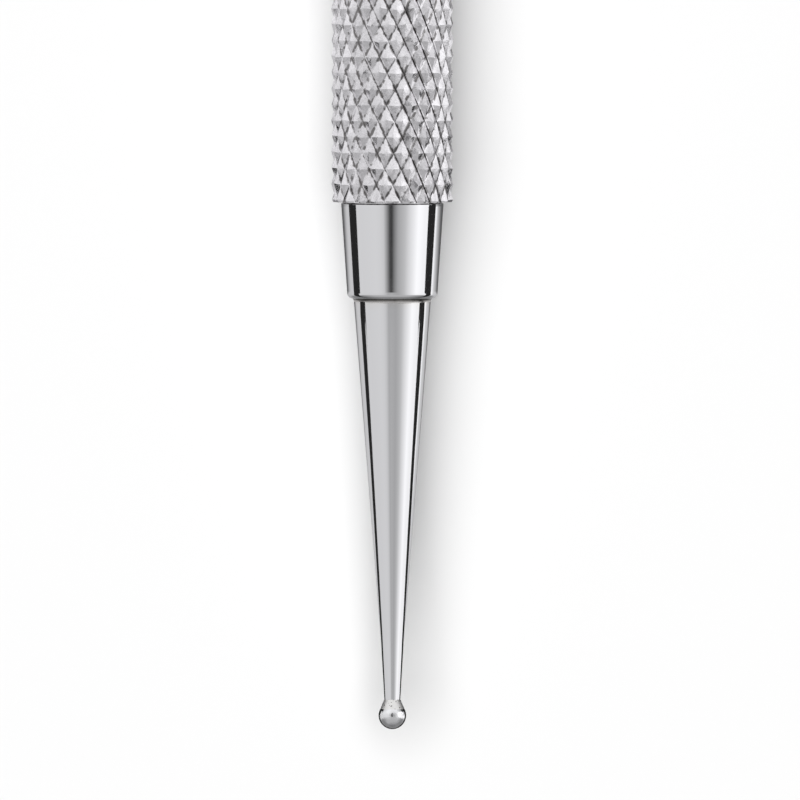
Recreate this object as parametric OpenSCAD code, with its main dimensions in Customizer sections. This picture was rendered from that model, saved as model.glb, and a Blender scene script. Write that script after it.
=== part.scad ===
// Double-ended cuticle pusher: a hollow knurled handle with a tapered collar pressed into
// each end. One collar carries a long cone that ends in a small ball, the other a cone that
// is forged into a spoon-shaped pusher blade. The tool lies along X on the plane Z = 0,
// with the ball towards -X, the blade towards +X and the blade's hollow side facing down.

/* [Handle] */
// Diameter over the crests of the diamond knurl
handle_d = 8.0; // [7:0.1:9]
// Length of the knurled tube
handle_len = 73.9; // [50:0.1:100]
// Diameter of the tube's bore
bore_d = 5.5; // [5:0.1:5.8]
// Bevel on the outer edge of each tube end
handle_bevel = 0.1; // [0.05:0.05:0.2]

/* [Collars] */
// Length of the collar that shows beyond the tube
collar_len = 6.3; // [5:0.1:8]
// Collar diameter where it seats on the tube
collar_root_d = 6.7; // [6.4:0.1:6.9]
// Collar diameter at the end of its taper
collar_end_d = 5.9; // [5.8:0.1:6.2]
// Size of the bevel at the collar's outer end
collar_bevel = 0.33; // [0.2:0.01:0.35]
// Length of the spigot that is pressed into the tube
spigot_len = 10; // [6:1:16]

/* [Shanks] */
// Diameter of both shanks where they leave their collars
shank_root_d = 5.06; // [4.8:0.02:5.1]
// Diameter of the tang that each shank holds inside its collar
tang_d = 2.6; // [2:0.1:3.2]
// Depth of the tang behind the collar's outer face
tang_len = 13; // [8:0.5:15]
// Length of the braze fillet along the shank
fillet_len = 0.25; // [0.2:0.05:0.5]

/* [Ball end] */
// Diameter of the ball
ball_d = 1.8; // [1.5:0.1:2.2]
// Distance from the tube's end face to the ball's centre
ball_reach = 33.6; // [30:0.1:38]
// Diameter where the long cone passes into the slim neck
neck_root_d = 1.5; // [1.3:0.1:1.7]
// Diameter of the neck at the ball
neck_d = 1.0; // [0.9:0.02:1.1]
// Length of the slim neck
neck_len = 4.2; // [3:0.1:6]
// Diameter of the pin that the ball is brazed onto
pin_d = 0.7; // [0.5:0.05:0.8]
// Diameter of the braze where it runs out on the ball, as a share of the ball's
ball_braze_share = 0.93; // [0.85:0.01:0.96]
// Length of the braze along the neck
ball_braze_len = 0.3; // [0.2:0.1:0.6]

/* [Pusher end] */
// Distance from the tube's end face to the tip of the blade
pusher_reach = 39.6; // [36:0.1:44]
// Length of the round cone ahead of the collar
pusher_cone_len = 13.5; // [11:0.5:15]
// Diameter at the end of that cone
pusher_cone_end_d = 2.9; // [2.6:0.1:3.2]
// Length from that cone to the start of the spoon
waist_len = 3.9; // [3:0.1:4.5]
// Length of the spoon at its full width, tip included
spoon_len = 8.5; // [7:0.5:9]
// Length of the spoon's rounded tip
spoon_tip_len = 4.6; // [3:0.2:6]
// Greatest width of the spoon
blade_w = 5.6; // [4.5:0.1:6]
// Thickness of the spoon where it reaches its full width
blade_t = 0.95; // [0.8:0.05:1.2]
// Thickness of the spoon at its tip
blade_tip_t = 0.5; // [0.4:0.05:0.8]
// Depth of the hollow across the spoon
blade_hollow = 0.5; // [0.2:0.05:0.7]
// How far the blade's tip drops below the handle's axis
blade_drop = 2.4; // [1:0.1:2.6]

/* [Hidden] */
$fn = 96;

axis_z = handle_d / 2;
ball_r = ball_d / 2;
total_len = ball_reach + ball_r + handle_len + pusher_reach;
ball_face_x = -total_len / 2 + ball_r + ball_reach;
pusher_face_x = ball_face_x + handle_len;

lead_in = 0.4;      // bevel on the buried ends of spigots and tangs
curve_steps = 6;    // straight strips along the hollow curve of a braze fillet
pin_depth = 0.9;    // how far the pin reaches into the ball
overlap = 0.6;      // how far the blade's root is sunk into the round cone
root_gap = 0.04;    // how far the blade's root lies inside the cone's surface
blade_sides = 24;   // points round each cross-section of the blade
blade_stations = 30; // cross-sections along the blade
tip_share = 0.12;   // width of the last cross-section, as a share of the full width
squareness = 0.35;  // how far the spoon's cross-section squares up from an ellipse
thinning_len = 2;   // how far before the full spoon the tip's thinning starts

// The ball is cut flat where the neck meets it.
neck_end_z = ball_reach - sqrt(ball_r ^ 2 - (neck_d / 2) ^ 2);
neck_start_z = neck_end_z - neck_len;
ball_braze_r = ball_r * ball_braze_share;
braze_end_z = ball_reach - sqrt(ball_r ^ 2 - ball_braze_r ^ 2);
braze_start_z = neck_end_z - ball_braze_len;
neck_slope = (neck_root_d - neck_d) / 2 / neck_len;
ball_cone_slope = (shank_root_d - neck_root_d) / 2 / (neck_start_z - collar_len);
pusher_cone_slope = (shank_root_d - pusher_cone_end_d) / 2 / pusher_cone_len;
collar_face_r = collar_end_d / 2 - collar_bevel;

// Both ends are drawn along +Z from the tube's end face, then laid along the handle.
// On the pusher end, local +X is the world's -Z, which is down.
module at_ball_end() {
    translate([ball_face_x, 0, axis_z]) rotate([0, -90, 0]) children();
}

module at_pusher_end() {
    translate([pusher_face_x, 0, axis_z]) rotate([0, 90, 0]) children();
}

// ---- handle ----

module handle_tube() {
    color([0.72, 0.72, 0.73])
    translate([ball_face_x, 0, axis_z])
    rotate([0, 90, 0])
    rotate_extrude()
    polygon([
        [bore_d / 2, 0],
        [handle_d / 2 - handle_bevel, 0],
        [handle_d / 2, handle_bevel],
        [handle_d / 2, handle_len - handle_bevel],
        [handle_d / 2 - handle_bevel, handle_len],
        [bore_d / 2, handle_len],
    ]);
}

// ---- collars ----

// Outline of a collar: a spigot inside the tube, a shoulder on the tube's end face,
// a taper outside it and a bevel at its outer end.
module collar() {
    color([0.85, 0.85, 0.86])
    rotate_extrude()
    polygon([
        [tang_d / 2, -spigot_len],
        [bore_d / 2 - lead_in, -spigot_len],
        [bore_d / 2, -spigot_len + lead_in],
        [bore_d / 2, 0],
        [collar_root_d / 2, 0],
        [collar_end_d / 2, collar_len - collar_bevel],
        [collar_face_r, collar_len],
        [tang_d / 2, collar_len],
    ]);
}

module ball_end_collar() { at_ball_end() collar(); }

module pusher_end_collar() { at_pusher_end() collar(); }

// ---- braze fillets between collars and shanks ----

// A hollow curve that runs out of the bevel's foot and ends along the cone.
module shank_braze(slope) {
    root_r = shank_root_d / 2;
    foot = [collar_face_r, collar_len];
    corner = [root_r, collar_len] + (collar_face_r - root_r) * [-slope, 1];
    toe = [root_r - slope * fillet_len, collar_len + fillet_len];
    hollow = [
        for (i = [0 : curve_steps])
            let (t = i / curve_steps)
            (1 - t) ^ 2 * foot + 2 * t * (1 - t) * corner + t ^ 2 * toe
    ];
    color([0.70, 0.68, 0.63])
    rotate_extrude()
    polygon(concat([[root_r, collar_len]], hollow));
}

module ball_end_shank_braze() { at_ball_end() shank_braze(ball_cone_slope); }

module pusher_end_shank_braze() { at_pusher_end() shank_braze(pusher_cone_slope); }

// ---- ball end ----

// Tang inside the collar, shoulder on its face, long cone, slim neck and the ball's pin.
module ball_end_shank() {
    color([0.85, 0.85, 0.86])
    at_ball_end()
    rotate_extrude()
    polygon([
        [0, collar_len - tang_len],
        [tang_d / 2 - lead_in, collar_len - tang_len],
        [tang_d / 2, collar_len - tang_len + lead_in],
        [tang_d / 2, collar_len],
        [shank_root_d / 2, collar_len],
        [neck_root_d / 2, neck_start_z],
        [neck_d / 2, neck_end_z],
        [pin_d / 2, neck_end_z],
        [pin_d / 2, neck_end_z + pin_depth],
        [0, neck_end_z + pin_depth],
    ]);
}

module ball_tip() {
    color([0.88, 0.88, 0.89])
    at_ball_end()
    difference() {
        translate([0, 0, ball_reach]) sphere(ball_r);
        translate([0, 0, neck_end_z - ball_r]) cylinder(h = ball_r, r = ball_r);
        translate([0, 0, neck_end_z - ball_r]) cylinder(h = ball_r + pin_depth, d = pin_d);
    }
}

// The braze fills the corner between neck and ball. Its inside follows the neck and the ball.
module ball_tip_braze() {
    inner_start_r = neck_d / 2 + neck_slope * (neck_end_z - braze_start_z);
    color([0.70, 0.68, 0.63])
    at_ball_end()
    difference() {
        rotate_extrude()
        polygon([
            [inner_start_r, braze_start_z],
            [ball_braze_r, braze_end_z],
            [neck_d / 2, braze_end_z],
            [neck_d / 2, neck_end_z],
        ]);
        translate([0, 0, ball_reach]) sphere(ball_r);
    }
}

// ---- pusher end ----

// 0 before a, 1 after b and a smooth step between them.
function smooth(a, b, s) =
    let (t = min(1, max(0, (s - a) / (b - a))))
    t * t * (3 - 2 * t);

cone_end = collar_len + pusher_cone_len;
blade_start = cone_end - overlap;
spoon_start = cone_end + waist_len;
spoon_full = pusher_reach - spoon_len;
tip_start = pusher_reach - spoon_tip_len;
blade_root_d = pusher_cone_end_d - 2 * root_gap;

// Width of the blade, which closes in a half ellipse at its tip.
function blade_width(s) =
    let (
        full = blade_root_d + (blade_w - blade_root_d) * smooth(spoon_start, spoon_full, s),
        t = max(0, (s - tip_start) / spoon_tip_len)
    )
    full * max(tip_share, sqrt(1 - t * t));

// Thickness of the blade, forged thinner towards its tip.
function blade_thickness(s) =
    blade_root_d
    + (blade_t - blade_root_d) * smooth(cone_end, spoon_full, s)
    + (blade_tip_t - blade_t) * smooth(spoon_full - thinning_len, pusher_reach, s);

// How far the blade's middle has dropped below the axis, on a parabola.
function blade_sag(s) =
    let (t = max(0, (s - cone_end) / (pusher_reach - cone_end)))
    blade_drop * t * t;

function blade_cup(s) = blade_hollow * smooth(spoon_start, spoon_full, s);

// One cross-section: an ellipse that squares up a little as it flattens, bent over the hollow.
// Each point is [down, across, along]; the fall towards the edges makes the underside hollow.
function blade_section(s) =
    let (
        half_w = blade_width(s) / 2,
        half_t = blade_thickness(s) / 2,
        full_half_w = blade_w / 2,
        power = 1 - squareness * smooth(spoon_start, spoon_full, s)
    )
    [
        for (i = [0 : blade_sides - 1])
            let (
                a = 360 * i / blade_sides,
                across = half_w * sign(cos(a)) * abs(cos(a)) ^ power,
                down = half_t * sign(sin(a)) * abs(sin(a)) ^ power
            )
            [
                blade_sag(s) + down + blade_cup(s) * (across / full_half_w) ^ 2,
                across,
                s,
            ]
    ];

// Cross-sections close up towards the tip, where the outline turns fastest.
module blade() {
    stations = [
        for (i = [0 : blade_stations - 1])
            blade_start + (pusher_reach - blade_start) * sin(90 * i / (blade_stations - 1))
    ];
    last = (blade_stations - 1) * blade_sides;
    points = [for (s = stations) each blade_section(s)];
    sides = [
        for (j = [0 : blade_stations - 2], i = [0 : blade_sides - 1])
            let (
                a = j * blade_sides + i,
                b = j * blade_sides + (i + 1) % blade_sides
            )
            each [[a, b, a + blade_sides], [b, b + blade_sides, a + blade_sides]]
    ];
    root_cap = [for (i = [blade_sides - 1 : -1 : 0]) i];
    tip_cap = [for (i = [0 : blade_sides - 1]) last + i];
    polyhedron(points, concat(sides, [root_cap, tip_cap]));
}

// Tang, shoulder and round cone in one piece with the forged blade.
module pusher_blade_shank() {
    color([0.85, 0.85, 0.86])
    at_pusher_end()
    union() {
        rotate_extrude()
        polygon([
            [0, collar_len - tang_len],
            [tang_d / 2 - lead_in, collar_len - tang_len],
            [tang_d / 2, collar_len - tang_len + lead_in],
            [tang_d / 2, collar_len],
            [shank_root_d / 2, collar_len],
            [pusher_cone_end_d / 2, cone_end],
            [0, cone_end],
        ]);
        blade();
    }
}

handle_tube();
ball_end_collar();
ball_end_shank();
ball_end_shank_braze();
ball_tip();
ball_tip_braze();
pusher_end_collar();
pusher_blade_shank();
pusher_end_shank_braze();
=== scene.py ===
"""Looks of the double-ended cuticle pusher: a knurled tube, polished collars, cones and ball.

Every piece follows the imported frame. Outlines are in millimetres: s runs outwards along the
tool from one end face of the tube, and r is the distance from the tool's axis.
"""

import math

import bmesh
import bpy
import numpy as np
from mathutils import Matrix, Vector


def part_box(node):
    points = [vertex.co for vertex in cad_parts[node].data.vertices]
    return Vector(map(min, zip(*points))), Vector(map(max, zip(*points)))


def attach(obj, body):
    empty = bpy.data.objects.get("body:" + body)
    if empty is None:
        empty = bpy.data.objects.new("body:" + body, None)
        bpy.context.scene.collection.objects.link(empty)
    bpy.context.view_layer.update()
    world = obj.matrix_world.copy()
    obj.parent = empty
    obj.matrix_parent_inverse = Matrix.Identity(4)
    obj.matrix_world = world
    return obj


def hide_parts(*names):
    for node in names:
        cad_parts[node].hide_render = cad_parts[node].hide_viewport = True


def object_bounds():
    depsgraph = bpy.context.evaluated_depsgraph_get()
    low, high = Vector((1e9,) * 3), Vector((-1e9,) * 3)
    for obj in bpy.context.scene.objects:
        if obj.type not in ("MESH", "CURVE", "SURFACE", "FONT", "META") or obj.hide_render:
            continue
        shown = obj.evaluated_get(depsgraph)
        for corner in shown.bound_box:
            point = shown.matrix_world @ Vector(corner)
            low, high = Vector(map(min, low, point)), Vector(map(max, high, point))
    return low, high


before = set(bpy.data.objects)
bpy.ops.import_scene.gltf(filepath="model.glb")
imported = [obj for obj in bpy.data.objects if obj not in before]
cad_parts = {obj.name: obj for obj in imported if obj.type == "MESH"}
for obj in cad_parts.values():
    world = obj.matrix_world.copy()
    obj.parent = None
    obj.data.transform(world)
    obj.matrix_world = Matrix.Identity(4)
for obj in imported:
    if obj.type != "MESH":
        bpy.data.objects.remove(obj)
cad_box = [list(corner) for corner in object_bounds()]

MM = 0.001

# ---- places and sizes, from the frame where it has them ----

tube_low, tube_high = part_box("handle_tube")
AXIS_Z = (tube_low.z + tube_high.z) / 2
HANDLE_R = (tube_high.z - tube_low.z) / 2 / MM
HANDLE_LEN = (tube_high.x - tube_low.x) / MM
BALL_END = {"face_x": tube_low.x, "outwards": -1}
PUSHER_END = {"face_x": tube_high.x, "outwards": 1}

collar_low, collar_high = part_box("ball_end_collar")
COLLAR_LEN = (tube_low.x - collar_low.x) / MM
COLLAR_ROOT_R = (collar_high.y - collar_low.y) / 2 / MM
SPIGOT_LEN = (collar_high.x - tube_low.x) / MM
ball_low, ball_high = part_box("ball_tip")
BALL_R = (ball_high.y - ball_low.y) / 2 / MM
BALL_REACH = (tube_low.x - ball_low.x) / MM - BALL_R
shank_low, shank_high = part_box("ball_end_shank")
SHANK_ROOT_R = (shank_high.y - shank_low.y) / 2 / MM
TANG_LEN = COLLAR_LEN + (shank_high.x - tube_low.x) / MM
blade_low, blade_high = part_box("pusher_blade_shank")
PUSHER_REACH = (blade_high.x - tube_high.x) / MM
BLADE_W = (blade_high.y - blade_low.y) / MM

BORE_R = 2.75
HANDLE_BEVEL = 0.1
COLLAR_END_R = 2.95
COLLAR_BEVEL = 0.33
COLLAR_FACE_R = COLLAR_END_R - COLLAR_BEVEL
LEAD_IN = 0.4
TANG_R = 1.3
RELIEF_W = 0.1  # the fine groove between a collar and the tube
RELIEF_DEPTH = 0.12
SUPPORT_GAP = 0.15  # a ring of points this far from a rounded rim keeps the taper's shading even
FILLET_LEN = 0.25
NECK_ROOT_R = 0.75
NECK_R = 0.5
NECK_LEN = 4.2
PIN_R = 0.35
PIN_DEPTH = 0.9
BALL_BRAZE_SHARE = 0.93
BALL_BRAZE_LEN = 0.3
SHOULDER_AHEAD = 0.33  # from the ball braze's foot to the fullest part of its shoulder
PUSHER_CONE_LEN = 13.5
PUSHER_CONE_END_R = 1.45
WAIST_LEN = 3.9
SPOON_LEN = 8.5
SPOON_TIP_LEN = 4.6
SPOON_T = 0.95
SPOON_TIP_T = 0.5
SPOON_THINNING_LEN = 2.0
SPOON_HOLLOW = 0.5
SPOON_SQUARENESS = 0.35
BLADE_DROP = 2.4

NECK_END = BALL_REACH - math.sqrt(BALL_R**2 - NECK_R**2)
NECK_START = NECK_END - NECK_LEN
NECK_SLOPE = (NECK_ROOT_R - NECK_R) / NECK_LEN
BALL_CONE_SLOPE = (SHANK_ROOT_R - NECK_ROOT_R) / (NECK_START - COLLAR_LEN)
PUSHER_CONE_SLOPE = (SHANK_ROOT_R - PUSHER_CONE_END_R) / PUSHER_CONE_LEN
CONE_END = COLLAR_LEN + PUSHER_CONE_LEN

# Diamond knurl: how many grooves of each hand, their lead along the tool, and their depth.
KNURL_GROOVES = 22
KNURL_LEAD_LEFT = 2.196
KNURL_LEAD_RIGHT = 1.987
KNURL_ROW = 1 / (1 / KNURL_LEAD_LEFT + 1 / KNURL_LEAD_RIGHT)
KNURL_DEPTH = 0.29
KNURL_FIRST_PEAK = 0.13
PEAK_LEAN = 0.05  # most that a peak stands off its diamond's middle, as a share of the pitch
PEAK_DROP = 0.14  # most that a peak falls short of full height, as a share of the depth
# Heights across one pitch, from groove to groove, as shares of the depth. The left-hand grooves
# are cut last: they have a narrow slot, below 0, and a burnished land beside it.
KNURL_STATIONS = (0.0, 0.03, 0.09, 0.465, 0.5, 0.535, 0.91, 0.97)
FIRST_CUT_HEIGHTS = (0.04, 0.04, 0.1, 0.97, 1.0, 0.97, 0.1, 0.04)
LAST_CUT_HEIGHTS = (-0.09, 0.06, 0.085, 0.97, 1.0, 0.97, 0.09, -0.05)

TURNS = 256  # points round a turned piece
TURNED_EDGE_STEPS = 8
BALL_STEPS = 72


# ---- mesh helpers ----


def add_piece(name, mesh, material, slot, *nodes):
    """A finished piece that stands for CAD nodes and rides on the tool's one body."""
    piece = bpy.data.objects.new(name, mesh)
    bpy.context.scene.collection.objects.link(piece)
    mesh.materials.append(material)
    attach(piece, "root")
    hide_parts(*nodes)
    return piece


def close_mesh(bm, name):
    """Turns a bmesh into a smooth-shaded mesh with its faces pointing outwards."""
    bmesh.ops.remove_doubles(bm, verts=bm.verts, dist=1e-8)
    bmesh.ops.recalc_face_normals(bm, faces=bm.faces)
    for face in bm.faces:
        face.smooth = True
    mesh = bpy.data.meshes.new(name)
    bm.to_mesh(mesh)
    bm.free()
    return mesh


def even_shading(piece):
    """Keeps flats flat: the large faces beside a small rounded edge set its normals."""
    piece.data.set_sharp_from_angle(angle=math.radians(30))
    modifier = piece.modifiers.new("even_shading", "WEIGHTED_NORMAL")
    modifier.weight = 100
    modifier.keep_sharp = True


def place(end, s, r, angle):
    """World position of a point s out from an end face, r from the axis, at an angle from up."""
    x = end["face_x"] + end["outwards"] * s * MM
    return (x, -r * MM * math.sin(angle), AXIS_Z + r * MM * math.cos(angle))


def round_corners(corners, steps=TURNED_EDGE_STEPS):
    """Replaces each (s, r, radius) corner by an arc of that radius that meets both its sides."""
    outline = []
    for i, (s, r, radius) in enumerate(corners):
        here = Vector((s, r))
        if radius == 0 or i in (0, len(corners) - 1):
            outline.append(here)
            continue
        to_last = (Vector(corners[i - 1][:2]) - here).normalized()
        to_next = (Vector(corners[i + 1][:2]) - here).normalized()
        half = to_last.angle(to_next) / 2
        centre = here + (to_last + to_next).normalized() * (radius / math.sin(half))
        first = here + to_last * (radius / math.tan(half)) - centre
        last = here + to_next * (radius / math.tan(half)) - centre
        for step in range(steps + 1):
            outline.append(centre + first.slerp(last, step / steps) * radius)
    return outline


def bezier(first, corner, last, steps=12):
    """A quadratic curve from first to last that heads for corner, as (s, r, 0) corners."""
    points = []
    for step in range(steps + 1):
        t = step / steps
        p = Vector(first) * (1 - t) ** 2 + Vector(corner) * 2 * t * (1 - t) + Vector(last) * t**2
        points.append((p.x, p.y, 0))
    return points


def lathe(name, outline, end, ring=False, unevenness=None):
    """Turns an outline round the tool's axis. A ring's outline closes on itself."""
    bm = bmesh.new()
    rows = []
    for s, r in outline:
        row = []
        for turn in range(TURNS if r > 0 else 1):
            angle = math.tau * turn / TURNS
            ds, dr = unevenness(s, r, angle) if unevenness else (0, 0)
            row.append(bm.verts.new(place(end, s + ds, r + dr, angle)))
        rows.append(row)
    pairs = list(zip(rows, rows[1:]))
    if ring:
        pairs.append((rows[-1], rows[0]))
    for row, after in pairs:
        for turn in range(TURNS):
            corners = [
                row[turn % len(row)],
                row[(turn + 1) % len(row)],
                after[(turn + 1) % len(after)],
                after[turn % len(after)],
            ]
            corners = list(dict.fromkeys(corners))
            if len(corners) > 2:
                bm.faces.new(corners)
    return close_mesh(bm, name)


# ---- knurled tube ----


def knurl_grid(first_row, last_row):
    """Points and faces of the knurl, with edges along every groove and every pyramid's ridges.

    u and v count grooves of each hand, so a pyramid fills the square between whole numbers.
    A point is kept by its u index, which goes round the tube, and by its row, u minus v.
    """
    stations = np.array(KNURL_STATIONS)
    per = len(stations)
    around = KNURL_GROOVES * per
    rows = np.arange(first_row * per, last_row * per + 1)
    u_index, row = np.meshgrid(np.arange(around), rows)
    v_index = u_index - row
    u = u_index // per + stations[u_index % per]
    v = v_index // per + stations[v_index % per]
    last_cut = np.array(LAST_CUT_HEIGHTS)[u_index % per]
    first_cut = np.array(FIRST_CUT_HEIGHTS)[v_index % per]
    height = np.minimum(last_cut, first_cut)

    # No two cut pyramids are quite alike: each peak leans and rises a little differently.
    rng = np.random.default_rng(11)
    uneven = rng.uniform(-1, 1, (last_row - first_row + 4, KNURL_GROOVES, 3))
    cell_u = np.floor(u).astype(int)
    cell_row = cell_u - np.floor(v).astype(int) - first_row + 2
    peak = uneven[np.clip(cell_row, 0, len(uneven) - 1), cell_u % KNURL_GROOVES]
    on_peak = np.where(height > 0.5, 1, 0)
    lean = PEAK_LEAN * on_peak
    height = height - PEAK_DROP / 2 * on_peak * (1 - peak[..., 2])
    u = u + lean * peak[..., 0]
    v = v + lean * peak[..., 1]

    s = (u - v) * KNURL_ROW + KNURL_FIRST_PEAK
    turn = (u - 0.5) - (s - KNURL_FIRST_PEAK) / KNURL_LEAD_LEFT
    angle = math.tau * turn / KNURL_GROOVES
    r = HANDLE_R - KNURL_DEPTH * (1 - height)

    faces = []
    for j in range(1, len(rows) - 1):
        for i in range(around):
            after = (i + 1) % around
            a = j * around + i
            b = (j + 1) * around + after
            c = j * around + after
            d = (j - 1) * around + i
            in_u = i % per
            in_v = (i - rows[j]) % per
            if in_u == in_v:
                faces += [(a, b, c), (a, c, d)]
            elif in_u + in_v == per - 1:
                faces += [(a, b, d), (b, c, d)]
            else:
                faces.append((a, b, c, d))
    x = BALL_END["face_x"] + s * MM
    y = -r * MM * np.sin(angle)
    z = AXIS_Z + r * MM * np.cos(angle)
    return np.stack([x, y, z], -1).reshape(-1, 3), faces


def cut_across(bm, x, keep):
    """Cuts a bmesh across the tool at x. keep is -1 or 1 for the side that stays, 0 for both."""
    bmesh.ops.bisect_plane(
        bm,
        geom=bm.verts[:] + bm.edges[:] + bm.faces[:],
        dist=1e-7,
        plane_co=(x, 0, 0),
        plane_no=(1, 0, 0),
        clear_outer=keep < 0,
        clear_inner=keep > 0,
    )


def knurled_tube(material):
    """The handle tube: knurled outside, flat end faces with a small bevel, plain bore."""
    points, faces = knurl_grid(-2, int(HANDLE_LEN / KNURL_ROW) + 3)
    mesh = bpy.data.meshes.new("knurl_grid")
    mesh.from_pydata(points.tolist(), [], faces)
    bm = bmesh.new()
    bm.from_mesh(mesh)
    bpy.data.meshes.remove(mesh)
    bmesh.ops.delete(bm, geom=[v for v in bm.verts if not v.link_faces], context="VERTS")
    ends = ((tube_low.x, 1), (tube_high.x, -1))
    for x, inwards in ends:
        cut_across(bm, x, inwards)
        cut_across(bm, x + inwards * HANDLE_BEVEL * MM, 0)
    for vert in bm.verts:
        from_end = min(vert.co.x - tube_low.x, tube_high.x - vert.co.x) / MM
        limit = (HANDLE_R - max(0, HANDLE_BEVEL - from_end)) * MM
        off_axis = Vector((0, vert.co.y, vert.co.z - AXIS_Z))
        if off_axis.length > limit:
            off_axis.length = limit
            vert.co = Vector((vert.co.x, off_axis.y, AXIS_Z + off_axis.z))
    rims = []
    for edge in [e for e in bm.edges if e.is_boundary]:
        rims.append(edge)
    inner = bmesh.ops.extrude_edge_only(bm, edges=rims)["geom"]
    for vert in [g for g in inner if isinstance(g, bmesh.types.BMVert)]:
        off_axis = Vector((0, vert.co.y, vert.co.z - AXIS_Z))
        off_axis.length = BORE_R * MM
        vert.co = Vector((vert.co.x, off_axis.y, AXIS_Z + off_axis.z))
    bore_rims = [g for g in inner if isinstance(g, bmesh.types.BMEdge) and g.is_boundary]
    bmesh.ops.bridge_loops(bm, edges=bore_rims)
    mesh = close_mesh(bm, "knurled_tube")
    mesh.set_sharp_from_angle(angle=math.radians(20))
    add_piece("knurled_tube", mesh, material, "knurled_steel", "handle_tube")


# ---- turned and brazed pieces ----


def collar(name, end, material, node):
    """Spigot, a fine relief against the tube's end, a taper, a bevel and a flat outer face."""
    taper = (COLLAR_ROOT_R - COLLAR_END_R) / (COLLAR_LEN - COLLAR_BEVEL - RELIEF_W)
    first_support_s = 2 * SUPPORT_GAP
    last_support_s = COLLAR_LEN - COLLAR_BEVEL - SUPPORT_GAP
    corners = [
        (-SPIGOT_LEN, TANG_R, 0),
        (-SPIGOT_LEN, BORE_R - LEAD_IN, 0),
        (-SPIGOT_LEN + LEAD_IN, BORE_R, 0),
        (0, BORE_R, 0),
        (0, COLLAR_ROOT_R - RELIEF_DEPTH, 0),
        (RELIEF_W / 2, COLLAR_ROOT_R - RELIEF_DEPTH, 0.02),
        (RELIEF_W, COLLAR_ROOT_R, 0.06),
        (first_support_s, COLLAR_ROOT_R - taper * (first_support_s - RELIEF_W), 0),
        (last_support_s, COLLAR_END_R + taper * SUPPORT_GAP, 0),
        (COLLAR_LEN, COLLAR_END_R - taper * COLLAR_BEVEL, COLLAR_BEVEL),
        (COLLAR_LEN, SHANK_ROOT_R, 0),
        (COLLAR_LEN, TANG_R, 0),
    ]
    mesh = lathe(name, round_corners(corners), end, ring=True)
    piece = add_piece(name, mesh, material, "polished_steel", node)
    even_shading(piece)


def waves(counts, seed):
    """A gentle closed wave round the tool, between about -1 and 1, the same on each run."""
    phases = np.random.default_rng(seed).uniform(0, math.tau, len(counts))

    def wave(angle):
        total = 0.0
        for count, phase in zip(counts, phases):
            total += math.sin(count * angle + phase)
        return total / len(counts)

    return wave


def shank_braze(name, end, slope, material, node, seed):
    """Hollow fillet between a collar's face and its shank, run in by hand and a bit uneven."""
    foot = (COLLAR_LEN, COLLAR_FACE_R)
    rise = COLLAR_FACE_R - SHANK_ROOT_R
    corner = (COLLAR_LEN + rise, SHANK_ROOT_R - slope * rise)
    toe = (COLLAR_LEN + FILLET_LEN, SHANK_ROOT_R - slope * FILLET_LEN)
    outline = [(COLLAR_LEN, SHANK_ROOT_R, 0)] + bezier(foot, corner, toe)
    wave = waves((2, 3, 7, 13), seed)

    def unevenness(s, r, angle):
        out = (s - COLLAR_LEN) / FILLET_LEN
        ds = 0.06 * out * wave(angle)
        return ds, -slope * ds

    mesh = lathe(name, round_corners(outline), end, ring=True, unevenness=unevenness)
    piece = add_piece(name, mesh, material, "braze", node)
    even_shading(piece)


def ball_end_shank(material):
    """Tang, long cone, slim neck and the pin that holds the ball."""
    corners = [
        (COLLAR_LEN - TANG_LEN, 0, 0),
        (COLLAR_LEN - TANG_LEN, TANG_R - LEAD_IN, 0),
        (COLLAR_LEN - TANG_LEN + LEAD_IN, TANG_R, 0),
        (COLLAR_LEN, TANG_R, 0),
        (COLLAR_LEN, SHANK_ROOT_R, 0),
        (NECK_START, NECK_ROOT_R, 30),
        (NECK_END, NECK_R, 0),
        (NECK_END, PIN_R, 0),
        (NECK_END + PIN_DEPTH, PIN_R, 0),
        (NECK_END + PIN_DEPTH, 0, 0),
    ]
    name = "ball_end_cone"
    mesh = lathe(name, round_corners(corners), BALL_END)
    piece = add_piece(name, mesh, material, "polished_steel", "ball_end_shank")
    even_shading(piece)


def ball(material):
    """The ball, cut flat at the neck and bored for the pin."""
    outline = [
        Vector((NECK_END + PIN_DEPTH, 0)),
        Vector((NECK_END + PIN_DEPTH, PIN_R)),
        Vector((NECK_END, PIN_R)),
    ]
    start = math.asin(NECK_R / BALL_R)
    for step in range(BALL_STEPS + 1):
        angle = start + (math.pi - start) * step / BALL_STEPS
        r = BALL_R * math.sin(angle) if step < BALL_STEPS else 0
        outline.append(Vector((BALL_REACH - BALL_R * math.cos(angle), r)))
    mesh = lathe("polished_ball", outline, BALL_END)
    piece = add_piece("polished_ball", mesh, material, "polished_steel", "ball_tip")
    even_shading(piece)


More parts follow.
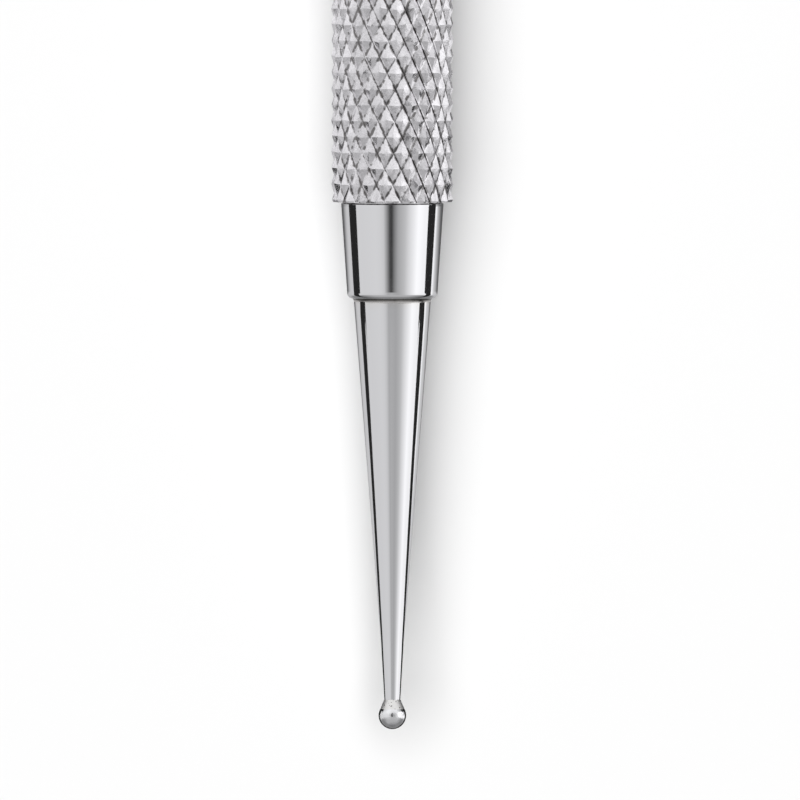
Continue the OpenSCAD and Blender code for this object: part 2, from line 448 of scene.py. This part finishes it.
def ball_braze(material):
    """Braze run in between neck and ball: a full shoulder, swept over by the polishing wheel."""
    foot_s = NECK_END - BALL_BRAZE_LEN
    foot = (foot_s, NECK_R + NECK_SLOPE * BALL_BRAZE_LEN)
    run_out_r = BALL_R * BALL_BRAZE_SHARE
    to_centre = math.sqrt(BALL_R**2 - run_out_r**2)
    shoulder_s = foot_s + SHOULDER_AHEAD
    shoulder_rise = (BALL_REACH - to_centre - shoulder_s) * to_centre / run_out_r
    shoulder = (shoulder_s, run_out_r - shoulder_rise)
    feather = 0.99  # the braze's edge dips just under the ball's skin
    run_out = (BALL_REACH - to_centre * feather, run_out_r * feather)
    outline = bezier(foot, shoulder, run_out)
    inside = []
    for step in range(1, 8):
        r = run_out_r + (NECK_R - run_out_r) * step / 8
        inside.append((BALL_REACH - math.sqrt(BALL_R**2 - r**2), r, 0))
    outline += inside + [(NECK_END, NECK_R, 0)]
    wave = waves((3, 5, 11, 17), 5)

    def unevenness(s, r, angle):
        bulge = math.sin(math.pi * min(1, max(0, (s - foot_s) / (run_out[0] - foot_s))))
        lift = max(0, r - NECK_R) / (run_out_r - NECK_R)
        return 0, 0.008 * bulge * lift * wave(angle)

    mesh = lathe("ball_braze", round_corners(outline), BALL_END, ring=True, unevenness=unevenness)
    piece = add_piece("ball_braze", mesh, material, "braze", "ball_tip_braze")
    even_shading(piece)


# ---- pusher blade ----


def smooth_step(first, last, s):
    t = np.clip((s - first) / (last - first), 0, 1)
    return t * t * (3 - 2 * t)


def spread(values, s, width):
    """Running average along s, which rounds off the places where a curve changes slope."""
    fine = np.linspace(s[0], s[-1], 2000)
    curve = np.interp(fine, s, values)
    count = max(3, int(width / (fine[1] - fine[0])))
    kernel = np.hanning(count)
    padded = np.pad(curve, count, mode="reflect", reflect_type="odd")
    rounded = np.convolve(padded, kernel / kernel.sum(), mode="same")[count:-count]
    return np.interp(s, fine, rounded)


def pusher_blade(material):
    """Tang and round cone that is drawn out and flattened into the spoon, in one skin."""
    stations, sides = 420, 144
    t = np.linspace(0, 1, stations)
    s = COLLAR_LEN + (PUSHER_REACH - COLLAR_LEN) * np.sin(t * math.pi / 2)
    spoon_start, spoon_full = CONE_END + WAIST_LEN, PUSHER_REACH - SPOON_LEN
    cone = np.maximum(SHANK_ROOT_R - PUSHER_CONE_SLOPE * (s - COLLAR_LEN), PUSHER_CONE_END_R)
    opening = smooth_step(spoon_start, spoon_full, s)
    half_w = cone + (BLADE_W / 2 - cone) * opening
    half_t = cone + (SPOON_T / 2 - cone) * smooth_step(CONE_END, spoon_full, s)
    half_t += (SPOON_TIP_T - SPOON_T) / 2 * smooth_step(
        spoon_full - SPOON_THINNING_LEN, PUSHER_REACH, s
    )
    half_w = spread(half_w, s, 2.5)
    half_t = spread(half_t, s, 2.5)
    to_tip = np.clip((s - PUSHER_REACH + SPOON_TIP_LEN) / SPOON_TIP_LEN, 0, 1)
    half_w *= np.sqrt(1 - to_tip**2)
    edge = SPOON_TIP_T / 2
    to_edge = np.clip((s - PUSHER_REACH + edge) / edge, 0, 1)
    half_t *= np.sqrt(1 - to_edge**2)
    sag = BLADE_DROP * np.clip((s - CONE_END) / (PUSHER_REACH - CONE_END), 0, 1) ** 2
    power = 1 - SPOON_SQUARENESS * opening

    bm = bmesh.new()
    root = [
        (COLLAR_LEN - TANG_LEN, TANG_R - LEAD_IN),
        (COLLAR_LEN - TANG_LEN + LEAD_IN, TANG_R),
        (COLLAR_LEN, TANG_R),
    ]
    rows = []
    for root_s, r in root:
        turns = [place(PUSHER_END, root_s, r, math.tau * i / sides) for i in range(sides)]
        rows.append([bm.verts.new(point) for point in turns])
    for j in range(stations - 1):
        row = []
        for i in range(sides):
            angle = math.tau * i / sides
            sine, cosine = math.sin(angle), math.cos(angle)
            across = half_w[j] * math.copysign(abs(sine) ** power[j], sine)
            up = half_t[j] * math.copysign(abs(cosine) ** power[j], cosine)
            hollow = SPOON_HOLLOW * opening[j] * (across / (BLADE_W / 2)) ** 2
            x = PUSHER_END["face_x"] + s[j] * MM
            z = AXIS_Z + (up - sag[j] - hollow) * MM
            row.append(bm.verts.new((x, -across * MM, z)))
        rows.append(row)
    for row, after in zip(rows, rows[1:]):
        for i in range(sides):
            k = (i + 1) % sides
            bm.faces.new((row[i], row[k], after[k], after[i]))
    bm.faces.new(rows[0])
    tip = bm.verts.new((PUSHER_END["face_x"] + PUSHER_REACH * MM, 0, AXIS_Z - sag[-1] * MM))
    for i in range(sides):
        bm.faces.new((rows[-1][i], rows[-1][(i + 1) % sides], tip))
    mesh = close_mesh(bm, "pusher_blade")
    mesh.set_sharp_from_angle(angle=math.radians(40))
    add_piece("pusher_blade", mesh, material, "polished_steel", "pusher_blade_shank")


# ---- material helpers ----


class Shader:
    """A material's node tree, with one Principled shader and short ways to add nodes."""

    def __init__(self, name, **constants):
        self.material = bpy.data.materials.new(name)
        self.material.use_nodes = True
        self.tree = self.material.node_tree
        self.surface = self.tree.nodes["Principled BSDF"]
        for socket, value in constants.items():
            self.surface.inputs[socket.replace("_", " ")].default_value = value

    def node(self, kind, inputs=None, **settings):
        """Adds a node. Its inputs are values or other nodes' sockets, by name or number."""
        node = self.tree.nodes.new(kind)
        for setting, value in settings.items():
            setattr(node, setting, value)
        for key, value in (inputs or {}).items():
            if isinstance(value, bpy.types.NodeSocket):
                self.tree.links.new(value, node.inputs[key])
            else:
                node.inputs[key].default_value = value
        return node

    def math(self, operation, first, second=0.0):
        node = self.node("ShaderNodeMath", {0: first, 1: second}, operation=operation)
        return node.outputs[0]

    def ramp(self, factor, stops):
        """A colour ramp. Each stop is (position, grey) or (position, (r, g, b))."""
        node = self.node("ShaderNodeValToRGB", {0: factor})
        elements = node.color_ramp.elements
        while len(elements) < len(stops):
            elements.new(0.5)
        for element, (position, colour) in zip(elements, stops):
            element.position = position
            rgb = colour if isinstance(colour, tuple) else (colour, colour, colour)
            element.color = (*rgb, 1)
        return node.outputs[0]

    def spread_between(self, value, low, high, first=0.0, last=1.0):
        """Maps first..last onto low..high, and stays at low or high outside it."""
        node = self.node("ShaderNodeMapRange", {0: value, 1: first, 2: last, 3: low, 4: high})
        return node.outputs[0]

    def tool_coordinates(self):
        """Distance along the tool, distance from its axis and angle round it, in millimetres."""
        place_in_frame = self.node("ShaderNodeTexCoord").outputs["Object"]
        split = self.node("ShaderNodeSeparateXYZ", {0: place_in_frame})
        up = self.math("SUBTRACT", split.outputs[2], AXIS_Z)
        y_squared = self.math("MULTIPLY", split.outputs[1], split.outputs[1])
        up_squared = self.math("MULTIPLY", up, up)
        radius = self.math("SQRT", self.math("ADD", y_squared, up_squared))
        along = self.math("DIVIDE", split.outputs[0], MM)
        off_axis = self.math("DIVIDE", radius, MM)
        angle = self.math("ARCTAN2", split.outputs[1], up)
        return along, off_axis, angle

    def beyond_collar(self, along):
        """Distance outwards from the outer face of the nearer collar, in millimetres."""
        middle = (tube_low.x + tube_high.x) / 2 / MM
        from_middle = self.math("ABSOLUTE", self.math("SUBTRACT", along, middle))
        return self.math("SUBTRACT", from_middle, HANDLE_LEN / 2 + COLLAR_LEN)

    def noise(self, vector, scale, detail=2.0, roughness=0.5):
        inputs = {"Vector": vector, "Scale": scale, "Detail": detail, "Roughness": roughness}
        return self.node("ShaderNodeTexNoise", inputs).outputs["Fac"]

    def combine(self, x, y, z):
        return self.node("ShaderNodeCombineXYZ", {0: x, 1: y, 2: z}).outputs[0]

    def bump(self, height, strength, distance_mm, normal=None):
        inputs = {"Strength": strength, "Distance": distance_mm * MM, "Height": height}
        if normal is not None:
            inputs["Normal"] = normal
        return self.node("ShaderNodeBump", inputs).outputs[0]

    def connect(self, output, socket):
        self.tree.links.new(output, self.surface.inputs[socket])


# ---- materials ----


def knurled_steel():
    """Cut steel: worn lands, flanks with tool marks, tips a touch lighter from wear and a painted
    highlight, and painted shade darkening the grooves, broken up in patches.
    """
    shader = Shader("knurled_steel", Metallic=1.0)
    along, off_axis, angle = shader.tool_coordinates()
    slot_floor = HANDLE_R - KNURL_DEPTH * (1 - LAST_CUT_HEIGHTS[0])
    height = shader.spread_between(off_axis, 0.0, 1.0, slot_floor, HANDLE_R)
    grain_place = shader.combine(along, shader.math("MULTIPLY", angle, HANDLE_R), off_axis)
    grain = shader.noise(grain_place, 7.0, 4.0, 0.65)
    patches = shader.noise(grain_place, 2.2, 2.0)
    # Painted shade: the colour darkens towards the groove floors and slots, where shade falls, broken
    # up in patches. The very tips get a painted highlight as well as wear.
    shade_and_sheen_height = shader.math("ADD", height, shader.spread_between(patches, -0.08, 0.13, 0.42, 0.62))
    colour = shader.ramp(
        shade_and_sheen_height,
        [
            (0.0, (0.16, 0.15, 0.15)),
            (0.1, (0.38, 0.37, 0.37)),
            (0.15, (0.80, 0.785, 0.80)),
            (0.2, (0.92, 0.905, 0.925)),
            (0.9, (0.92, 0.905, 0.925)),
            (1.0, (0.97, 0.96, 0.97)),
        ],
    )
    tint = shader.spread_between(grain, 0.84, 1.0, 0.38, 0.6)
    mixed = shader.node("ShaderNodeMix", {0: 1.0, 6: colour, 7: tint}, data_type="RGBA")
    mixed.blend_type = "MULTIPLY"
    shader.connect(mixed.outputs[2], "Base Color")
    shader.connect(shader.spread_between(grain, 0.1, 0.3, 0.3, 0.7), "Roughness")
    shader.connect(shader.bump(grain, 0.4, 0.025), "Normal")
    return shader.material


def turned_steel():
    """Bright turned and polished steel: very fine marks round the tool, and faint smudges."""
    shader = Shader("turned_steel", Metallic=1.0, Base_Color=(0.87, 0.87, 0.88, 1))
    along, _, angle = shader.tool_coordinates()
    marks = shader.noise(shader.combine(along, shader.math("MULTIPLY", angle, 0.05), 0.0), 14.0, 3.0)
    smudge = shader.noise(shader.combine(along, shader.math("MULTIPLY", angle, 2.0), 0.0), 0.9, 3.0)
    shader.connect(shader.spread_between(smudge, 0.035, 0.09), "Roughness")
    shader.connect(shader.bump(marks, 0.04, 0.004), "Normal")
    return shader.material


def drawn_steel():
    """Steel polished lengthwise: streaks run along the cone and spread its reflections round it."""
    shader = Shader("drawn_steel", Metallic=1.0, Anisotropic=0.3)
    along, _, angle = shader.tool_coordinates()
    streak_place = shader.combine(
        shader.math("MULTIPLY", along, 0.03), shader.math("MULTIPLY", angle, 4.0), 0.0
    )
    streaks = shader.noise(streak_place, 4.0, 5.0, 0.7)
    smudge = shader.noise(shader.combine(along, shader.math("MULTIPLY", angle, 2.0), 0.0), 0.7, 3.0)
    shader.connect(shader.spread_between(streaks, 0.03, 0.08), "Roughness")
    shader.connect(shader.bump(streaks, 0.1, 0.006), "Normal")
    tangent = shader.node("ShaderNodeTangent", direction_type="RADIAL", axis="X")
    shader.connect(tangent.outputs[0], "Tangent")
    heat = shader.math("ADD", shader.math("DIVIDE", shader.beyond_collar(along), 0.8), smudge)
    colour = shader.ramp(
        shader.math("SUBTRACT", heat, 0.4),
        [(0.0, (0.80, 0.77, 0.73)), (0.5, (0.85, 0.84, 0.83)), (1.0, (0.86, 0.86, 0.87))],
    )
    shader.connect(colour, "Base Color")
    return shader.material


def ball_steel():
    """Polished ball with the faint flats and pits of hand polishing."""
    shader = Shader("ball_steel", Metallic=1.0, Base_Color=(0.94, 0.94, 0.95, 1))
    place_in_frame = shader.node("ShaderNodeTexCoord").outputs["Object"]
    dents = shader.noise(place_in_frame, 2.4 / MM, 4.0, 0.6)
    shader.connect(shader.spread_between(dents, 0.03, 0.08), "Roughness")
    shader.connect(shader.bump(dents, 0.6, 0.06), "Normal")
    return shader.material


def braze_metal():
    """Silver braze, polished over: nearly white, with a few small dark pits."""
    shader = Shader("braze", Metallic=1.0)
    place_in_frame = shader.node("ShaderNodeTexCoord").outputs["Object"]
    lumps = shader.noise(place_in_frame, 3.0 / MM, 3.0, 0.5)
    pits = shader.ramp(shader.noise(place_in_frame, 8.0 / MM, 1.0), [(0.30, 0.0), (0.36, 1.0)])
    colour = shader.ramp(pits, [(0.0, (0.22, 0.20, 0.19)), (1.0, (0.97, 0.96, 0.94))])
    shader.connect(colour, "Base Color")
    shader.connect(shader.spread_between(lumps, 0.36, 0.54), "Roughness")
    shader.connect(shader.bump(pits, 0.4, 0.03, shader.bump(lumps, 0.12, 0.02)), "Normal")
    return shader.material


def seam_braze():
    """The thin braze line beside a collar: painted shade, nearly black, at its foot in the corner
    against the collar's face, brighter towards its toe.
    """
    shader = Shader("seam_braze", Metallic=1.0)
    along, _, _ = shader.tool_coordinates()
    place_in_frame = shader.node("ShaderNodeTexCoord").outputs["Object"]
    lumps = shader.noise(place_in_frame, 2.5 / MM, 3.0)
    from_face = shader.math("ADD", shader.beyond_collar(along), shader.math("MULTIPLY", lumps, 0.1))
    # Painted shade: nearly black at the foot, in the corner where shade falls, and lighter out towards
    # the toe.
    colour = shader.ramp(
        shader.math("MULTIPLY", from_face, 4.0),
        [
            (0.2, (0.09, 0.085, 0.08)),
            (0.45, (0.24, 0.23, 0.22)),
            (0.75, (0.55, 0.53, 0.51)),
            (1.0, (0.78, 0.76, 0.74)),
        ],
    )
    shader.connect(colour, "Base Color")
    shader.connect(shader.spread_between(lumps, 0.15, 0.4), "Roughness")
    shader.connect(shader.bump(lumps, 0.3, 0.02), "Normal")
    return shader.material


# ---- stage, lights and camera ----

VIEW_WIDTH = 0.0523
VIEW_AHEAD = 0.01296  # how far beyond the tube's end the view is centred
VIEW_ASIDE = -0.0005
CAMERA_HEIGHT = 1.5
SENSOR = 36.0
TENT_R = 0.7
FLOOR_HALF = 15
FLOOR_GLOW = 0.04  # even light that the table gives, as a share of its full brightness
KEY_ANGLE = 76  # how wide the soft light above looks from the table, in degrees
KEY_TILT = 9  # how far it stands to the left of straight up, in degrees
KEY_POWER = 3.78

# The tent's glow. Tilt is measured round the tool from straight up, in degrees, positive to
# the right. Reach is the part of a direction that points along the tool, from -1 beyond the
# ball to 1 beyond the blade. Each list holds (tilt, factor) or (reach, factor) stops, and a
# list named SHARE says how much the list before it counts at each reach.
TENT_LEVEL = [
    (-1.0, 0.22), (-0.95, 0.32), (-0.85, 0.43), (-0.6, 0.47), (-0.40, 0.56), (-0.31, 0.70),
    (-0.18, 0.74), (0.07, 0.79), (0.33, 0.93), (1.0, 0.97),
]
TENT_ACROSS = [
    (-180, 0.6), (-150, 0.76), (-131, 0.86), (-113, 0.88), (-90, 0.97), (-76, 0.96), (-40, 1.0),
    (-28, 0.97), (-20, 0.88), (-11, 0.63), (-4, 0.67), (12, 0.60), (21, 0.67), (30, 0.79), (40, 1.05),
    (52, 1.30), (63, 1.55), (72, 1.5), (82, 1.4), (108, 1.4), (121, 1.45), (130, 0.9), (150, 0.76),
    (180, 0.6),
]
TENT_ACROSS_SHARE = [(-0.58, 0.0), (-0.4, 0.3), (-0.32, 1.0), (0.15, 1.0), (0.5, 0.15), (1.0, 0.1)]
TENT_BEHIND = [
    (-180, 0.6), (-155, 1.2), (-130, 2.0), (-108, 1.6), (-92, 0.75), (-70, 0.8), (-50, 1.0),
    (0, 0.94), (30, 0.94), (50, 0.88), (62, 0.68), (90, 0.42), (180, 0.35),
]
TENT_BEHIND_SHARE = [(0.2, 0.0), (0.45, 1.0), (1.0, 1.0)]
TENT_BEFORE = [
    (-180, 0.5), (-92, 0.5), (-72, 0.75), (-50, 1.0), (50, 1.0), (72, 0.75), (90, 0.5), (180, 0.5),
]
TENT_BEFORE_SHARE = [(-1.0, 0.5), (-0.8, 1.0), (-0.5, 1.0), (-0.36, 0.0)]
TENT_BELOW = [
    (-180, 0.2), (-150, 0.25), (-128, 0.8), (-115, 1.0), (95, 1.0), (112, 0.5), (140, 0.2), (180, 0.2),
]
TENT_BELOW_SHARE = [(-0.15, 0.0), (-0.12, 1.0), (0.15, 1.0), (0.4, 0.0)]
TENT_SLOT = [(-20, 0.0), (-12, 0.38), (-6, 0.88), (-1, 0.92), (6, 0.47), (13, 0.08), (19, 0.0)]
TENT_SLOT_NEAR = (-0.246, -0.234)  # the reach over which the slot sets in
TENT_SLOT_FAR = (0.2, 0.28)  # the reach over which it ends again

# Black cards lie on the table beside the tool. Their plan is in millimetres, out from the
# tube's end face and away from the axis, and it narrows to a patch under the ball.
# The narrow patch under the ball is a painted shadow: in reflections it stands for the shade on the
# table beneath the ball. The same outline lies at the blade's end.
CARD_INNER_EDGE = [
    (-4, 14.2), (8, 13.2), (8.6, 12), (17.7, 10.6), (22, 8.0), (26.5, 4.8), (29.3, 2.2), (30, 0.8),
]
CARD_OUTER_EDGE = [
    (38.5, 0), (38, 3), (36, 5.5), (33.9, 6.8), (30.0, 9.5), (27.8, 15.5), (25.1, 29), (20.5, 50),
    (14.5, 50), (53, 300), (20, 300),
]


def hide_from(obj, camera=False, diffuse=False, glossy=False, shadow=False):
    """Takes an object out of what the camera, diffuse bounces, reflections or shadows see."""
    obj.visible_camera = not camera
    obj.visible_diffuse = not diffuse
    obj.visible_glossy = not glossy
    obj.visible_shadow = not shadow


def stage_object(name, bm, material):
    mesh = bpy.data.meshes.new(name)
    bm.to_mesh(mesh)
    bm.free()
    mesh.materials.append(material)
    obj = bpy.data.objects.new(name, mesh)
    bpy.context.scene.collection.objects.link(obj)
    return obj


def table():
    """A matt white light table. Polished steel sees the tent's lower half in its place."""
    shader = Shader(
        "table",
        Base_Color=(0.8, 0.8, 0.8, 1),
        Roughness=0.9,
        Specular_IOR_Level=0.0,
        Emission_Color=(1, 1, 1, 1),
        Emission_Strength=FLOOR_GLOW,
    )
    bm = bmesh.new()
    bmesh.ops.create_grid(bm, x_segments=1, y_segments=1, size=FLOOR_HALF)
    obj = stage_object("table", bm, shader.material)
    hide_from(obj, glossy=True)


def light_tent():
    """A round tent that only reflections see, with the glow set out in the lists above."""
    shader = Shader("tent_glow")
    direction = shader.node("ShaderNodeTexCoord").outputs["Object"]
    direction = shader.node("ShaderNodeVectorMath", {0: direction}, operation="NORMALIZE")
    split = shader.node("ShaderNodeSeparateXYZ", {0: direction.outputs[0]})
    to_right = shader.math("MULTIPLY", split.outputs[1], -1.0)
    tilt = shader.math("ARCTAN2", to_right, split.outputs[2])
    tilt = shader.math("ADD", shader.math("DIVIDE", tilt, math.tau), 0.5)
    reach = shader.math("ADD", shader.math("MULTIPLY", split.outputs[0], 0.5), 0.5)

    def by_tilt(stops):
        return shader.ramp(tilt, [(degrees / 360 + 0.5, level / 2) for degrees, level in stops])

    def by_reach(stops):
        return shader.ramp(reach, [(share / 2 + 0.5, level) for share, level in stops])

    def by_both(stops, share_stops):
        """A factor by tilt that fades to 1 where its share of the reach is 0."""
        from_one = shader.math("SUBTRACT", by_tilt(stops), 0.5)
        from_one = shader.math("MULTIPLY", from_one, by_reach(share_stops))
        return shader.math("MULTIPLY", shader.math("ADD", from_one, 0.5), 2.0)

    slot = shader.math("MULTIPLY", by_tilt(TENT_SLOT), 2.0)
    along = split.outputs[0]
    slot = shader.math("MULTIPLY", slot, shader.spread_between(along, 0.0, 1.0, *TENT_SLOT_NEAR))
    slot = shader.math("MULTIPLY", slot, shader.spread_between(along, 1.0, 0.0, *TENT_SLOT_FAR))
    glow = shader.math("MULTIPLY", by_both(TENT_ACROSS, TENT_ACROSS_SHARE), by_reach(TENT_LEVEL))
    glow = shader.math("MULTIPLY", glow, by_both(TENT_BEHIND, TENT_BEHIND_SHARE))
    glow = shader.math("MULTIPLY", glow, by_both(TENT_BEFORE, TENT_BEFORE_SHARE))
    glow = shader.math("MULTIPLY", glow, by_both(TENT_BELOW, TENT_BELOW_SHARE))
    glow = shader.math("MULTIPLY", glow, shader.math("SUBTRACT", 1.0, slot))
    emission = shader.node("ShaderNodeEmission", {"Color": (0.985, 0.985, 1, 1), "Strength": glow})
    output = shader.tree.nodes["Material Output"]
    shader.tree.links.new(emission.outputs[0], output.inputs["Surface"])
    shader.material.cycles.emission_sampling = "NONE"

    bm = bmesh.new()
    bmesh.ops.create_uvsphere(bm, u_segments=96, v_segments=48, radius=TENT_R)
    tent = stage_object("light_tent", bm, shader.material)
    hide_from(tent, camera=True, diffuse=True, shadow=True)


def black_cards():
    """The cards at both ends of the tool, which only reflections see. The narrow patch under the ball
    is a painted shadow.
    """
    shader = Shader(
        "card_black", Base_Color=(0.018, 0.018, 0.018, 1), Roughness=1.0, Specular_IOR_Level=0.0
    )
    lift = 0.00005
    inner_other = [(s, -y) for s, y in reversed(CARD_INNER_EDGE)]
    outer_other = [(s, -y) for s, y in reversed(CARD_OUTER_EDGE[1:])]
    outline = CARD_INNER_EDGE + inner_other + outer_other + CARD_OUTER_EDGE
    bm = bmesh.new()
    for end in (BALL_END, PUSHER_END):
        corners = []
        for s, y in outline:
            x = end["face_x"] + end["outwards"] * s * MM
            corners.append(bm.verts.new((x, y * MM, lift)))
        bm.faces.new(corners)
    cards = stage_object("black_cards", bm, shader.material)
    hide_from(cards, camera=True, diffuse=True, shadow=True)


def lights():
    """A wide soft light above and a little to the left, and a plain white room."""
    world = bpy.data.worlds.new("room")
    world.use_nodes = True
    world.node_tree.nodes["Background"].inputs["Color"].default_value = (1, 1, 1, 1)
    world.cycles_visibility.diffuse = False
    world.cycles_visibility.glossy = False
    bpy.context.scene.world = world
    key = bpy.data.lights.new("key", "SUN")
    key.angle = math.radians(KEY_ANGLE)
    key.energy = KEY_POWER
    obj = bpy.data.objects.new("key", key)
    bpy.context.scene.collection.objects.link(obj)
    obj.rotation_euler = (-math.radians(KEY_TILT), 0, 0)
    hide_from(obj, glossy=True)


def camera():
    """Looks down on the ball end from over the middle of the tool, with the handle upwards."""
    target = Vector((BALL_END["face_x"] - VIEW_AHEAD, VIEW_ASIDE, AXIS_Z))
    position = Vector(((cad_box[0][0] + cad_box[1][0]) / 2, VIEW_ASIDE, CAMERA_HEIGHT))
    back = (position - target).normalized()
    right = Vector((1, 0, 0)).cross(back).normalized()
    up = back.cross(right)
    data = bpy.data.cameras.new("camera")
    data.sensor_width = SENSOR
    data.lens = SENSOR * (position - target).length / VIEW_WIDTH
    data.clip_end = 10
    obj = bpy.data.objects.new("camera", data)
    bpy.context.scene.collection.objects.link(obj)
    axes = Matrix((right, up, back)).transposed().to_4x4()
    obj.matrix_world = Matrix.Translation(position) @ axes
    bpy.context.scene.camera = obj


# ---- the tool ----

camera()
knurled_tube(knurled_steel())
turned, drawn, seam = turned_steel(), drawn_steel(), seam_braze()
collar("ball_end_ferrule", BALL_END, turned, "ball_end_collar")
collar("pusher_end_ferrule", PUSHER_END, turned, "pusher_end_collar")
ball_end_shank(drawn)
pusher_blade(drawn)
ball(ball_steel())
ball_braze(braze_metal())
shank_braze("ball_end_braze", BALL_END, BALL_CONE_SLOPE, seam, "ball_end_shank_braze", 3)
shank_braze("pusher_end_braze", PUSHER_END, PUSHER_CONE_SLOPE, seam, "pusher_end_shank_braze", 4)

table()
light_tent()
black_cards()
lights()
bpy.context.scene.view_settings.view_transform = "Standard"
